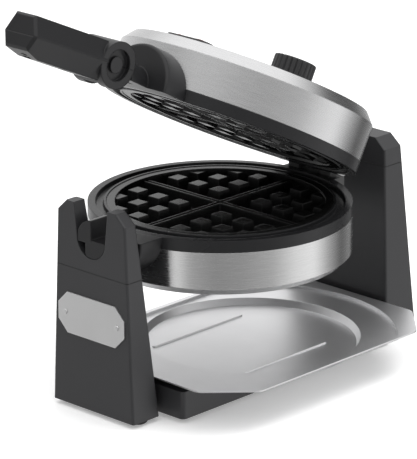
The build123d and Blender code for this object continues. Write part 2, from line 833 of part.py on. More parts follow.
with BuildPart() as handle_body:
    with BuildSketch(Plane.YZ.offset(-handle_root)):
        with BuildLine():
            Polyline(
                (handle_width / 2, 0),
                (handle_flat / 2, handle_height / 2),
                (-handle_flat / 2, handle_height / 2),
                (-handle_width / 2, 0),
                (-handle_flat / 2, -handle_height / 2),
                (handle_flat / 2, -handle_height / 2),
                close=True,
            )
        make_face()
    extrude(amount=handle_root - handle_reach)
    with BuildSketch(side_plane(handle_width)):
        with BuildLine():
            Polyline(
                (-handle_reach - 1, -handle_height / 2 - 1),
                (-handle_reach + handle_end_run, -handle_height / 2 - 1),
                (-handle_reach + handle_end_run, -handle_height / 2),
                (-handle_reach - 1, -handle_height / 2 + handle_end_drop),
                close=True,
            )
        make_face()
    extrude(amount=2 * handle_width, mode=Mode.SUBTRACT)
    grip_ends = handle_body.faces().sort_by(Axis.X)[0].edges()
    chamfer(grip_ends, 2)
    with BuildSketch(Plane.YZ.offset(-boss_radius - moulded_wall)):
        with BuildLine():
            Polyline(
                (handle_width / 2 - moulded_wall - 0.5, 0),
                (handle_flat / 2 - 1, handle_height / 2 - moulded_wall),
                (1 - handle_flat / 2, handle_height / 2 - moulded_wall),
                (0.5 + moulded_wall - handle_width / 2, 0),
                (1 - handle_flat / 2, moulded_wall + handle_end_drop - handle_height / 2),
                (handle_flat / 2 - 1, moulded_wall + handle_end_drop - handle_height / 2),
                close=True,
            )
        make_face()
    extrude(amount=boss_radius + 2 * moulded_wall - handle_reach, mode=Mode.SUBTRACT)
    with Locations(*[(x, 0, 0) for x in grip_screw_places]):
        Cylinder(grip_boss_radius, handle_height - moulded_wall)
    Cylinder(boss_radius, boss_width, rotation=(90, 0, 0))
    for side in (-1, 1):
        with Locations((0, side * boss_width / 2, 0)):
            Cylinder(boss_recess_radius, 2 * boss_recess_depth, rotation=(90, 0, 0), mode=Mode.SUBTRACT)
    slot_width = lug_width + 2 * cheek_gap
    Cylinder(lug_radius + 1, slot_width, rotation=(90, 0, 0), mode=Mode.SUBTRACT)
    with Locations((-pivot_rise - half_gap, 0, pivot_rise + half_gap + 1)):
        Box(60, slot_width, 60, align=(Align.MIN, Align.CENTER, Align.MAX), mode=Mode.SUBTRACT)
    Cylinder(pivot_pin_radius + running_fit, 2 * boss_width, rotation=(90, 0, 0), mode=Mode.SUBTRACT)
    with Locations(*[(x, 0, handle_height / 2 - moulded_wall - 2) for x in grip_screw_places]):
        Cylinder(screw_hole, 2 * handle_height, align=downwards, mode=Mode.SUBTRACT)
    with Locations(*[(x, 0, grip_head_depth - handle_height / 2) for x in grip_screw_places]):
        Cylinder(
            screw_head_radius + slip_fit,
            handle_height,
            align=downwards,
            mode=Mode.SUBTRACT,
        )

with BuildPart() as handle_upper:
    add(handle_body.part)
    split(bisect_by=Plane.XY, keep=Keep.TOP)

with BuildPart() as handle_lower:
    add(handle_body.part)
    split(bisect_by=Plane.XY, keep=Keep.BOTTOM)

with BuildPart() as grip_screws:
    with Locations(*[(x, 0, grip_head_depth - handle_height / 2) for x in grip_screw_places]):
        Cylinder(screw_head_radius, screw_head_height, align=downwards)
        Cylinder(
            screw_radius,
            handle_height - grip_head_depth - moulded_wall - 4,
            align=upwards,
        )

handle_seat = Pos(pivot_x, 0, pivot_height) * Rot(0, -handle_droop, 0)
save(opened(handle_seat * handle_upper.part), "handle_upper")
save(opened(handle_seat * handle_lower.part), "handle_lower")
save(opened(handle_seat * grip_screws.part), "grip_screws")

# Stand

tower_floor = foot_height + moulded_wall
front_post_x = (front_outer + front_inner(front_seam)) / 2
rear_post_x = (rear_inner(rear_seam) + rear_outer(rear_seam)) / 2
front_posts = [(front_post_x, -front_tower_screw_y), (front_post_x, front_tower_screw_y)]
rear_posts = [(rear_post_x, -rear_tower_screw_y), (rear_post_x, rear_tower_screw_y)]
front_neck_end = front_inner_foot - neck_reach
rear_neck_end = rear_inner_foot + neck_reach
front_neck_x = front_inner_foot - neck_reach / 2
rear_neck_x = rear_inner_foot + neck_reach / 2
front_neck_screws = [(front_neck_x, -front_neck_screw_y), (front_neck_x, front_neck_screw_y)]
rear_neck_screws = [(rear_neck_x, -rear_neck_screw_y), (rear_neck_x, rear_neck_screw_y)]
front_feet = [(front_outer + 16, -front_half_foot + 11), (front_outer + 16, front_half_foot - 11)]
rear_feet = [(rear_outer_foot - 12, -rear_half_foot + 10), (rear_outer_foot - 12, rear_half_foot - 10)]
deck_screws = [
    (x, y)
    for x in (deck_front + cover_screw_inset, deck_back - cover_screw_inset)
    for y in (-deck_half_width + cover_screw_inset, deck_half_width - cover_screw_inset)
]


def slot_profile(x, wall=0.0):
    """The cradle's U: a round bottom on the turning axis, and sides that open towards the top."""
    rise = tower_top - axis_height + (0 if wall else 1)
    with BuildSketch(journal_plane(x)) as profile:
        with BuildLine():
            bottom = CenterArc((0, 0), slot_radius + wall, 180, 180)
            Polyline(bottom @ 1, (slot_half_top + wall, rise), (-slot_half_top - wall, rise), bottom @ 0)
        make_face()
    return profile.sketch


with BuildPart() as front_tower:
    loft(sections=[front_section(foot_height), front_section(front_seam)])
    loft(
        sections=[front_section(tower_floor, moulded_wall), front_section(front_seam, moulded_wall)],
        mode=Mode.SUBTRACT,
    )
    with Locations((deck_front, 0, tower_floor)):
        Box(
            deck_front - front_neck_end,
            2 * front_neck_half,
            neck_top - tower_floor,
            align=(Align.MAX, Align.CENTER, Align.MIN),
            mode=Mode.SUBTRACT,
        )
    with BuildSketch(Plane.XY.offset(tower_floor)):
        with Locations(*front_posts):
            Circle(boss)
    extrude(amount=front_seam - tower_floor)
    with BuildSketch(Plane.XY.offset(foot_height)):
        with Locations(*front_posts, *front_neck_screws):
            Circle(screw_hole)
    extrude(amount=front_seam - foot_height, mode=Mode.SUBTRACT)
    with BuildSketch(Plane.XY.offset(foot_height)):
        with Locations(*front_posts, *front_neck_screws):
            Circle(screw_head_radius + slip_fit)
        with Locations(*front_feet):
            Circle(foot_stem, mode=Mode.ADD)
    extrude(amount=flush_head, mode=Mode.SUBTRACT)
    with BuildSketch(Plane.XY.offset(foot_height)):
        with Locations(*front_feet):
            Circle(foot_stem)
    extrude(amount=moulded_wall, mode=Mode.SUBTRACT)
    with BuildSketch(journal_plane(front_outer)):
        with Locations((-rivet_spread / 2, plate_centre_height - axis_height)):
            Circle(rivet_radius / 2)
        with Locations((rivet_spread / 2, plate_centre_height - axis_height)):
            Circle(rivet_radius / 2)
    extrude(amount=moulded_wall, mode=Mode.SUBTRACT)
save(front_tower.part, "front_tower")

with BuildPart() as cradle_space:
    loft(
        sections=[
            front_section(front_seam, moulded_wall),
            front_section(shoulder_height - moulded_wall, moulded_wall),
        ]
    )
    extrude(slot_profile(front_outer, moulded_wall), amount=60, dir=(1, 0, 0), mode=Mode.SUBTRACT)
    with BuildSketch(Plane.XY.offset(front_seam)):
        with Locations(*front_posts):
            Circle(boss)
    extrude(amount=60, mode=Mode.SUBTRACT)

with BuildPart() as front_cradle:
    loft(sections=[front_section(front_seam), front_section(shoulder_height)])
    loft(sections=[front_section(shoulder_height), front_section(tower_top, half=front_half_top)])
    add(cradle_space.part, mode=Mode.SUBTRACT)
    extrude(slot_profile(front_outer - 1), amount=60, dir=(1, 0, 0), mode=Mode.SUBTRACT)
    with BuildSketch(Plane.XY.offset(front_seam)):
        with Locations(*front_posts):
            Circle(screw_hole)
    extrude(amount=8, mode=Mode.SUBTRACT)
save(front_cradle.part, "front_cradle")

with BuildPart() as rear_tower:
    loft(sections=[rear_section(foot_height), rear_section(rear_seam)])
    loft(
        sections=[rear_section(tower_floor, moulded_wall), rear_section(rear_seam, moulded_wall)],
        mode=Mode.SUBTRACT,
    )
    with Locations((deck_back, 0, tower_floor)):
        Box(
            rear_neck_end - deck_back,
            2 * rear_neck_half,
            neck_top - tower_floor,
            align=(Align.MIN, Align.CENTER, Align.MIN),
            mode=Mode.SUBTRACT,
        )
    with BuildSketch(Plane.XY.offset(tower_floor)):
        with Locations(*rear_posts):
            Circle(boss)
    extrude(amount=rear_seam - tower_floor)
    with BuildSketch(Plane.XY.offset(foot_height)):
        with Locations(*rear_posts, *rear_neck_screws):
            Circle(screw_hole)
    extrude(amount=rear_seam - foot_height, mode=Mode.SUBTRACT)
    with BuildSketch(Plane.XY.offset(foot_height)):
        with Locations(*rear_posts, *rear_neck_screws):
            Circle(screw_head_radius + slip_fit)
    extrude(amount=flush_head, mode=Mode.SUBTRACT)
    with BuildSketch(Plane.XY.offset(foot_height)):
        with Locations(*rear_feet):
            Circle(foot_stem)
    extrude(amount=moulded_wall, mode=Mode.SUBTRACT)
    with BuildSketch(journal_plane(deck_back)):
        Circle(bush_outer)
    extrude(amount=12, mode=Mode.SUBTRACT)
    with BuildSketch(journal_plane(rear_outer_foot)):
        with Locations((0, gland_height - axis_height)):
            Circle(gland_radius)
    extrude(amount=-12, mode=Mode.SUBTRACT)
save(rear_tower.part, "rear_tower")

with BuildPart() as cap_space:
    loft(sections=[rear_section(rear_seam, moulded_wall), rear_section(shoulder_height, moulded_wall)])
    loft(
        sections=[
            rear_section(shoulder_height, moulded_wall),
            rear_section(tower_top - moulded_wall, moulded_wall, half=rear_half_top + 2),
        ]
    )
    with BuildSketch(Plane.XY.offset(rear_seam)):
        with Locations(*rear_posts):
            Circle(boss)
    extrude(amount=30, mode=Mode.SUBTRACT)

with BuildPart() as rear_cap:
    loft(sections=[rear_section(rear_seam), rear_section(shoulder_height)])
    loft(sections=[rear_section(shoulder_height), rear_section(tower_top, half=rear_half_top)])
    add(cap_space.part, mode=Mode.SUBTRACT)
    with BuildSketch(Plane.XY.offset(rear_seam)):
        with Locations(*rear_posts):
            Circle(screw_hole)
    extrude(amount=8, mode=Mode.SUBTRACT)
    with BuildSketch(journal_plane(deck_back)):
        Circle(bush_outer)
    extrude(amount=12, mode=Mode.SUBTRACT)
save(rear_cap.part, "rear_cap")

with BuildPart() as shaft_bush:
    with BuildSketch(journal_plane(bush_start)):
        Circle(bush_outer)
    extrude(amount=bush_length)
    with BuildSketch(journal_plane(bush_start + bush_length - bush_flange_thickness)):
        Circle(bush_flange)
    extrude(amount=bush_flange_thickness)
    with BuildSketch(journal_plane(bush_start)):
        Circle(shaft_radius + running_fit)
    extrude(amount=bush_length, mode=Mode.SUBTRACT)
save(shaft_bush.part, "shaft_bush")

with BuildPart() as tower_screws:
    for posts, seam in ((front_posts, front_seam), (rear_posts, rear_seam)):
        with BuildSketch(Plane.XY.offset(foot_height)):
            with Locations(*posts):
                Circle(screw_head_radius)
        extrude(amount=flush_head)
        with BuildSketch(Plane.XY.offset(foot_height)):
            with Locations(*posts):
                Circle(screw_radius)
        extrude(amount=seam + 7 - foot_height)
save(tower_screws.part, "tower_screws")

with BuildPart() as base_frame:
    with BuildSketch(Plane.XY.offset(foot_height)):
        with Locations(((deck_front + deck_back) / 2, 0)):
            RectangleRounded(deck_back - deck_front, 2 * deck_half_width, deck_corner)
    extrude(amount=deck_height - foot_height)
    with BuildSketch(Plane.XY.offset(foot_height)):
        with Locations(((deck_front + deck_back) / 2, 0)):
            RectangleRounded(
                deck_back - deck_front - 2 * moulded_wall,
                2 * (deck_half_width - moulded_wall),
                deck_corner - moulded_wall,
            )
    extrude(amount=deck_height - foot_height - moulded_wall, mode=Mode.SUBTRACT)
    for end, inside, half in (
        (front_neck_end, deck_front + moulded_wall, front_neck_half),
        (rear_neck_end, deck_back - moulded_wall, rear_neck_half),
    ):
        towards = 1 if inside > end else -1
        with Locations(((end + inside) / 2, 0, tower_floor)):
            Box(abs(inside - end), 2 * half, neck_top - tower_floor, align=upwards)
        with Locations(((end + inside) / 2 + towards * (moulded_wall / 2 + 0.5), 0, tower_floor)):
            Box(
                abs(inside - end) - moulded_wall + 1,
                2 * (half - moulded_wall),
                neck_top - tower_floor - moulded_wall,
                align=upwards,
                mode=Mode.SUBTRACT,
            )
    with BuildSketch(Plane.XY.offset(tower_floor)):
        with Locations(*front_neck_screws, *rear_neck_screws):
            Circle(boss)
    extrude(amount=neck_top - tower_floor - moulded_wall)
    with BuildSketch(Plane.XY.offset(foot_height + cover_sheet)):
        with Locations(*deck_screws):
            Circle(boss)
    extrude(amount=deck_height - foot_height - cover_sheet - moulded_wall)
    with BuildSketch(Plane.XY.offset(foot_height)):
        with Locations(*front_neck_screws, *rear_neck_screws, *deck_screws):
            Circle(screw_hole)
    extrude(amount=screw_bite + 3, mode=Mode.SUBTRACT)
save(base_frame.part, "base_frame")

with BuildPart() as base_cover:
    with BuildSketch(Plane.XY.offset(foot_height)):
        with Locations(((deck_front + deck_back) / 2, 0)):
            RectangleRounded(
                deck_back - deck_front - 2 * moulded_wall - 2 * slip_fit,
                2 * (deck_half_width - moulded_wall - slip_fit),
                deck_corner - moulded_wall,
            )
        with Locations(*deck_screws):
            Circle(screw_hole, mode=Mode.SUBTRACT)
    extrude(amount=cover_sheet)
    with BuildSketch(Plane.XY.offset(foot_height)):
        with Locations(*deck_screws):
            Circle(screw_head_radius + slip_fit)
    extrude(amount=flush_head, mode=Mode.SUBTRACT)
save(base_cover.part, "base_cover")

with BuildPart() as base_screws:
    with BuildSketch(Plane.XY.offset(foot_height)):
        with Locations(*front_neck_screws, *rear_neck_screws, *deck_screws):
            Circle(screw_head_radius)
    extrude(amount=flush_head)
    with BuildSketch(Plane.XY.offset(foot_height)):
        with Locations(*front_neck_screws, *rear_neck_screws, *deck_screws):
            Circle(screw_radius)
    extrude(amount=screw_bite + 2)
save(base_screws.part, "base_screws")

with BuildPart() as feet:
    with BuildSketch(Plane.XY):
        with Locations(*front_feet, *rear_feet):
            Circle(foot_radius)
    extrude(amount=foot_height)
    chamfer(feet.edges().group_by(Axis.Z)[0], 1)
    with BuildSketch(Plane.XY.offset(foot_height)):
        with Locations(*front_feet, *rear_feet):
            Circle(foot_stem)
    extrude(amount=moulded_wall)
save(feet.part, "feet")

plate_face = Plane(origin=(front_outer, 0, plate_centre_height), x_dir=(0, -1, 0), z_dir=(-1, 0, 0))

with BuildPart() as name_plate:
    with BuildSketch(plate_face) as plate_outline:
        Rectangle(plate_length, plate_height)
        chamfer(plate_outline.vertices(), plate_corner)
        with Locations((-rivet_spread / 2, 0), (rivet_spread / 2, 0)):
            Circle(rivet_radius / 2, mode=Mode.SUBTRACT)
    extrude(amount=plate_sheet)
save(name_plate.part, "name_plate")

with BuildPart() as plate_rivets:
    with BuildSketch(plate_face.offset(plate_sheet)):
        with Locations((-rivet_spread / 2, 0), (rivet_spread / 2, 0)):
            Circle(rivet_radius)
    extrude(amount=0.8)
    fillet(plate_rivets.faces().group_by(Axis.X)[0].edges(), 0.6)
    with BuildSketch(plate_face.offset(plate_sheet)):
        with Locations((-rivet_spread / 2, 0), (rivet_spread / 2, 0)):
            Circle(rivet_radius / 2)
    extrude(amount=-plate_sheet - moulded_wall)
save(plate_rivets.part, "plate_rivets")

with BuildPart() as cord_gland:
    gland_face = Plane(
        origin=(rear_outer(gland_height - gland_flange) + 0.2, 0, gland_height), x_dir=(0, 1, 0), z_dir=(1, 0, 0)
    )
    with BuildSketch(gland_face):
        Circle(gland_flange)
    extrude(amount=2)
    with BuildSketch(gland_face):
        Circle(gland_radius)
    extrude(amount=-gland_depth)
    with BuildSketch(gland_face.offset(2)):
        Circle(gland_bore)
    extrude(amount=-gland_depth - 2, mode=Mode.SUBTRACT)
save(cord_gland.part, "cord_gland")

# Drip tray: a pressed sheet that stands on the deck

tray_floor = deck_height + sheet


def tray_outline(height, inset=0.0):
    """Tray outline with its cut corners, or the same moved in from the edge."""
    with BuildSketch(Plane.XY.offset(height)) as outline:
        with Locations(tray_centre):
            Rectangle(tray_length, tray_width)
        chamfer(outline.vertices(), tray_cut)
        fillet(outline.vertices(), tray_corner)
        if inset:
            offset(amount=-inset, mode=Mode.REPLACE)
    return outline.sketch


def step_outline(height, inset):
    """The round step where it stays inside the tray's edge."""
    with BuildSketch(Plane.XY.offset(height)) as outline:
        add(tray_outline(0, inset))
        with Locations(tray_centre):
            Circle(step_radius - inset + step_inset, mode=Mode.INTERSECT)
    return outline.sketch


with BuildPart() as drip_tray:
    add(tray_outline(tray_level))
    extrude(amount=-sheet)
    add(step_outline(tray_level, step_inset - sheet))
    extrude(amount=-step_drop - sheet)
    with BuildSketch(Plane.XY.offset(tray_level - step_drop)):
        with Locations(tray_centre):
            Circle(recess_radius + sheet)
    extrude(amount=deck_height - tray_level + step_drop, taper=press_taper)
    add(step_outline(tray_level, step_inset))
    extrude(amount=-step_drop, mode=Mode.SUBTRACT)
    with BuildSketch(Plane.XY.offset(tray_level - step_drop)):
        with Locations(tray_centre):
            Circle(recess_radius)
    extrude(amount=tray_floor - tray_level + step_drop, taper=press_taper, mode=Mode.SUBTRACT)
    with BuildSketch(Plane.XY.offset(tray_floor)):
        with Locations(
            (tray_centre[0] + bead_shift, tray_centre[1] - bead_spread / 2),
            (tray_centre[0] + bead_shift, tray_centre[1] + bead_spread / 2),
        ):
            SlotOverall(bead_length, bead_width)
    extrude(amount=bead_height, taper=press_taper)
save(drip_tray.part, "drip_tray")
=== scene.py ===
import math

import bpy
import numpy as np
from mathutils import Matrix, Vector


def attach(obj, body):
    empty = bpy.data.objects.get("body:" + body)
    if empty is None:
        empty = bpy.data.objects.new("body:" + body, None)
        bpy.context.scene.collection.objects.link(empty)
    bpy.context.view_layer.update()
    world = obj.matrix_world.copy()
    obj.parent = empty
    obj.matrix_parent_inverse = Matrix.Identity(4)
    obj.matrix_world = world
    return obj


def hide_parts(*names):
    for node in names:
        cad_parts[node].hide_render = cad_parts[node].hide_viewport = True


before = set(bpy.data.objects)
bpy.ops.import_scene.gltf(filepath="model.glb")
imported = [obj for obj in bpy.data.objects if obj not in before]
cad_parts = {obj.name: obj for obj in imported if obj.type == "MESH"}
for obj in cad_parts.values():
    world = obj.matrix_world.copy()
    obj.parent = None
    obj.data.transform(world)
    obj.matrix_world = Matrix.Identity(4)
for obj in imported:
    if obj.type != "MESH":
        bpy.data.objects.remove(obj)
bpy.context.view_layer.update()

# Looks, light and camera for the rotary waffle maker. Sizes are in metres, in the model's frame.

# Places that the materials need
iron_centre = Vector((0.0207, 0.00775, 0.153))
hinge_point = Vector((0.1372, 0.00775, 0.1585))
lid_angle = math.radians(29)
front_seam = 0.1247
rear_seam = 0.1573

# Browning knob: its place from the middle of the iron with the lid shut, and its sizes
knob_offset = 0.05
knob_base_rise = 0.0533
knob_radius = 0.0186
knob_height = 0.026
knob_flutes = 24
knob_flute_depth = 0.0011
knob_corner = 0.0015
knob_pointer_width = 0.002
knob_pointer_depth = 0.0008

# Floor: half its side, its drop below the feet, its own white and the light that it adds
floor_half = 8
floor_drop = 0.0003
floor_white = 0.9
floor_glow = 0.28

# The photograph's camera: it looks past a point above the middle of the iron's place on the table
camera_azimuth = math.radians(-46.3)
camera_elevation = math.radians(18.4)
camera_roll = math.radians(-0.1)
camera_distance = 2.887
camera_lens = 264.0
camera_sensor = 36.0
aim_right = -0.0099
aim_up = 0.1191


def put(tree, kind, values=None, **properties):
    """A new node. Values go to its sockets, by name or number, and may be other nodes' outputs."""
    made = tree.nodes.new(kind)
    for name, value in properties.items():
        setattr(made, name, value)
    for name, value in (values or {}).items():
        if isinstance(value, bpy.types.NodeSocket):
            tree.links.new(value, made.inputs[name])
        else:
            made.inputs[name].default_value = value
    return made


def new_group(name, inputs, outputs):
    """An empty node group with named sockets: (tree, its input node, its output node)."""
    tree = bpy.data.node_groups.new(name, "ShaderNodeTree")
    for label, kind, value in inputs:
        socket = tree.interface.new_socket(label, in_out="INPUT", socket_type=kind)
        if value is not None:
            socket.default_value = value
    for label, kind in outputs:
        tree.interface.new_socket(label, in_out="OUTPUT", socket_type=kind)
    return tree, tree.nodes.new("NodeGroupInput"), tree.nodes.new("NodeGroupOutput")


def moulded_grain():
    """Fine texture of moulded plastic: a bump of cells and a slow change of roughness.

    Height = noise at the grain size, roughness = the middle value plus a slow noise about zero.
    """
    tree, given, made = new_group(
        "Moulded grain",
        [
            ("Coordinates", "NodeSocketVector", None),
            ("Grains per metre", "NodeSocketFloat", 2600.0),
            ("Depth", "NodeSocketFloat", 0.00004),
            ("Roughness", "NodeSocketFloat", 0.45),
            ("Spread", "NodeSocketFloat", 0.08),
            ("Normal", "NodeSocketVector", None),
        ],
        [("Normal", "NodeSocketVector"), ("Roughness", "NodeSocketFloat")],
    )
    grain = put(
        tree,
        "ShaderNodeTexNoise",
        {"Vector": given.outputs["Coordinates"], "Scale": given.outputs["Grains per metre"], "Detail": 2.0},
    )
    bump = put(
        tree,
        "ShaderNodeBump",
        {
            "Strength": 1.0,
            "Distance": given.outputs["Depth"],
            "Height": grain.outputs["Fac"],
            "Normal": given.outputs["Normal"],
        },
    )
    slow = put(
        tree,
        "ShaderNodeTexNoise",
        {"Vector": given.outputs["Coordinates"], "Scale": 18.0, "Detail": 3.0},
    )
    about_zero = put(tree, "ShaderNodeMath", {0: slow.outputs["Fac"], 1: 0.5}, operation="SUBTRACT")
    spread = put(
        tree,
        "ShaderNodeMath",
        {0: about_zero.outputs[0], 1: given.outputs["Spread"], 2: given.outputs["Roughness"]},
        operation="MULTIPLY_ADD",
    )
    tree.links.new(bump.outputs["Normal"], made.inputs["Normal"])
    tree.links.new(spread.outputs[0], made.inputs["Roughness"])
    return tree


def seam_line():
    """Dark parting line at one height: 1 within half the width of the height, 0 elsewhere."""
    tree, given, made = new_group(
        "Parting line",
        [
            ("Coordinates", "NodeSocketVector", None),
            ("Height", "NodeSocketFloat", 0.1),
            ("Width", "NodeSocketFloat", 0.0008),
        ],
        [("Mask", "NodeSocketFloat")],
    )
    parts = put(tree, "ShaderNodeSeparateXYZ", {"Vector": given.outputs["Coordinates"]})
    half = put(tree, "ShaderNodeMath", {0: given.outputs["Width"], 1: 0.5}, operation="MULTIPLY")
    near = put(
        tree,
        "ShaderNodeMath",
        {0: parts.outputs["Z"], 1: given.outputs["Height"], 2: half.outputs[0]},
        operation="COMPARE",
    )
    tree.links.new(near.outputs[0], made.inputs["Mask"])
    return tree


def iron_coordinates():
    """Coordinates about the middle of the iron, with the lid's swing undone by its angle.

    Place = the point turned back about the hinge, less the middle of the iron.
    Tangent = the direction round the iron's upright axis at that point, turned with the lid again.
    """
    tree, given, made = new_group(
        "Iron coordinates",
        [("Coordinates", "NodeSocketVector", None), ("Swing", "NodeSocketFloat", 0.0)],
        [("Place", "NodeSocketVector"), ("Tangent", "NodeSocketVector")],
    )
    back = put(tree, "ShaderNodeMath", {0: given.outputs["Swing"], 1: -1.0}, operation="MULTIPLY")
    shut = put(
        tree,
        "ShaderNodeVectorRotate",
        {
            "Vector": given.outputs["Coordinates"],
            "Center": hinge_point,
            "Axis": (0, 1, 0),
            "Angle": back.outputs[0],
        },
        rotation_type="AXIS_ANGLE",
    )
    place = put(tree, "ShaderNodeVectorMath", {0: shut.outputs[0], 1: iron_centre}, operation="SUBTRACT")
    around = put(tree, "ShaderNodeVectorMath", {0: (0, 0, 1), 1: place.outputs[0]}, operation="CROSS_PRODUCT")
    swung = put(
        tree,
        "ShaderNodeVectorRotate",
        {
            "Vector": around.outputs[0],
            "Center": (0, 0, 0),
            "Axis": (0, 1, 0),
            "Angle": given.outputs["Swing"],
        },
        rotation_type="AXIS_ANGLE",
    )
    shown = put(
        tree,
        "ShaderNodeVectorTransform",
        {"Vector": swung.outputs[0]},
        vector_type="VECTOR",
        convert_from="OBJECT",
        convert_to="WORLD",
    )
    unit = put(tree, "ShaderNodeVectorMath", {0: shown.outputs[0]}, operation="NORMALIZE")
    tree.links.new(place.outputs[0], made.inputs["Place"])
    tree.links.new(unit.outputs[0], made.inputs["Tangent"])
    return tree


def brushed_lines():
    """Brushing round the iron: fine lines that are long round the axis and thin across it.

    Line pattern = noise of (angle, radius, height), with the angle scaled down by the line's length.
    """
    tree, given, made = new_group(
        "Brushed lines",
        [
            ("Place", "NodeSocketVector", None),
            ("Lines per metre", "NodeSocketFloat", 2200.0),
            ("Length share", "NodeSocketFloat", 0.004),
            ("Depth", "NodeSocketFloat", 0.00001),
            ("Roughness", "NodeSocketFloat", 0.3),
            ("Spread", "NodeSocketFloat", 0.14),
            ("Normal", "NodeSocketVector", None),
        ],
        [("Normal", "NodeSocketVector"), ("Roughness", "NodeSocketFloat"), ("Shade", "NodeSocketFloat")],
    )
    parts = put(tree, "ShaderNodeSeparateXYZ", {"Vector": given.outputs["Place"]})
    angle = put(
        tree,
        "ShaderNodeMath",
        {0: parts.outputs["Y"], 1: parts.outputs["X"]},
        operation="ARCTAN2",
    )
    along = put(
        tree,
        "ShaderNodeMath",
        {0: angle.outputs[0], 1: given.outputs["Length share"]},
        operation="MULTIPLY",
    )
    flat = put(tree, "ShaderNodeCombineXYZ", {"X": parts.outputs["X"], "Y": parts.outputs["Y"]})
    radius = put(tree, "ShaderNodeVectorMath", {0: flat.outputs[0]}, operation="LENGTH")
    spot = put(
        tree,
        "ShaderNodeCombineXYZ",
        {"X": along.outputs[0], "Y": radius.outputs["Value"], "Z": parts.outputs["Z"]},
    )
    lines = put(
        tree,
        "ShaderNodeTexNoise",
        {"Vector": spot.outputs[0], "Scale": given.outputs["Lines per metre"], "Detail": 2.0},
    )
    bump = put(
        tree,
        "ShaderNodeBump",
        {
            "Strength": 1.0,
            "Distance": given.outputs["Depth"],
            "Height": lines.outputs["Fac"],
            "Normal": given.outputs["Normal"],
        },
    )
    about_zero = put(tree, "ShaderNodeMath", {0: lines.outputs["Fac"], 1: 0.5}, operation="SUBTRACT")
    rough = put(
        tree,
        "ShaderNodeMath",
        {0: about_zero.outputs[0], 1: given.outputs["Spread"], 2: given.outputs["Roughness"]},
        operation="MULTIPLY_ADD",
    )
    tree.links.new(bump.outputs["Normal"], made.inputs["Normal"])
    tree.links.new(rough.outputs[0], made.inputs["Roughness"])
    tree.links.new(lines.outputs["Fac"], made.inputs["Shade"])
    return tree


grain_group = moulded_grain()
seam_group = seam_line()
place_group = iron_coordinates()
brush_group = brushed_lines()


def new_material(name):
    """A material with object coordinates and a principled shader ready to wire."""
    material = bpy.data.materials.new(name)
    material.use_nodes = True
    tree = material.node_tree
    shader = tree.nodes["Principled BSDF"]
    coordinates = put(tree, "ShaderNodeTexCoord").outputs["Object"]
    return material, tree, shader, coordinates


def moulded(name, colour, roughness, edge=0.0008, grain=2600.0, depth=0.00004, seam=None, specular=0.5):
    """Moulded plastic or rubber with a fine grain, soft edges and a dark parting line at a height."""
    material, tree, shader, coordinates = new_material(name)
    edges = put(tree, "ShaderNodeBevel", {"Radius": edge}, samples=6)
    finish = put(tree, "ShaderNodeGroup", node_tree=grain_group)
    finish.inputs["Grains per metre"].default_value = grain
    finish.inputs["Depth"].default_value = depth
    finish.inputs["Roughness"].default_value = roughness
    tree.links.new(coordinates, finish.inputs["Coordinates"])
    tree.links.new(edges.outputs["Normal"], finish.inputs["Normal"])
    patches = put(tree, "ShaderNodeTexNoise", {"Vector": coordinates, "Scale": 9.0, "Detail": 4.0})
    shade = put(
        tree,
        "ShaderNodeMapRange",
        {"Value": patches.outputs["Fac"], "From Min": 0.3, "From Max": 0.7, "To Min": 0.94, "To Max": 1.06},
    )
    tinted = put(
        tree,
        "ShaderNodeVectorMath",
        {0: colour, "Scale": shade.outputs["Result"]},
        operation="SCALE",
    )
    base = tinted.outputs[0]
    if seam is not None:
        line = put(tree, "ShaderNodeGroup", node_tree=seam_group)
        line.inputs["Height"].default_value = seam
        tree.links.new(coordinates, line.inputs["Coordinates"])
        groove = put(tree, "ShaderNodeMath", {0: 1.0, 1: line.outputs["Mask"]}, operation="SUBTRACT")
        lined = put(tree, "ShaderNodeVectorMath", {0: base, "Scale": groove.outputs[0]}, operation="SCALE")
        base = lined.outputs[0]
    tree.links.new(base, shader.inputs["Base Color"])
    tree.links.new(finish.outputs["Roughness"], shader.inputs["Roughness"])
    tree.links.new(finish.outputs["Normal"], shader.inputs["Normal"])
    shader.inputs["Specular IOR Level"].default_value = specular
    return material


def brushed(name, colour, roughness, swing, anisotropy=0.75, lines=2200.0, depth=0.00001, edge=0.0006):
    """Sheet metal brushed round the iron. Swing is the lid's angle, or 0 for the lower iron."""
    material, tree, shader, coordinates = new_material(name)
    where = put(tree, "ShaderNodeGroup", node_tree=place_group)
    where.inputs["Swing"].default_value = swing
    tree.links.new(coordinates, where.inputs["Coordinates"])
    edges = put(tree, "ShaderNodeBevel", {"Radius": edge}, samples=6)
    finish = put(tree, "ShaderNodeGroup", node_tree=brush_group)
    finish.inputs["Lines per metre"].default_value = lines
    finish.inputs["Depth"].default_value = depth
    finish.inputs["Roughness"].default_value = roughness
    tree.links.new(where.outputs["Place"], finish.inputs["Place"])
    tree.links.new(edges.outputs["Normal"], finish.inputs["Normal"])
    shade = put(
        tree,
        "ShaderNodeMapRange",
        {
            "Value": finish.outputs["Shade"],
            "From Min": 0.25,
            "From Max": 0.75,
            "To Min": 0.93,
            "To Max": 1.05,
        },
    )
    tinted = put(
        tree,
        "ShaderNodeVectorMath",
        {0: colour, "Scale": shade.outputs["Result"]},
        operation="SCALE",
    )
    tree.links.new(tinted.outputs[0], shader.inputs["Base Color"])
    tree.links.new(finish.outputs["Roughness"], shader.inputs["Roughness"])
    tree.links.new(finish.outputs["Normal"], shader.inputs["Normal"])
    tree.links.new(where.outputs["Tangent"], shader.inputs["Tangent"])
    shader.inputs["Metallic"].default_value = 1.0
    shader.inputs["Anisotropic"].default_value = anisotropy
    shader.inputs["Anisotropic Rotation"].default_value = 0.25
    return material


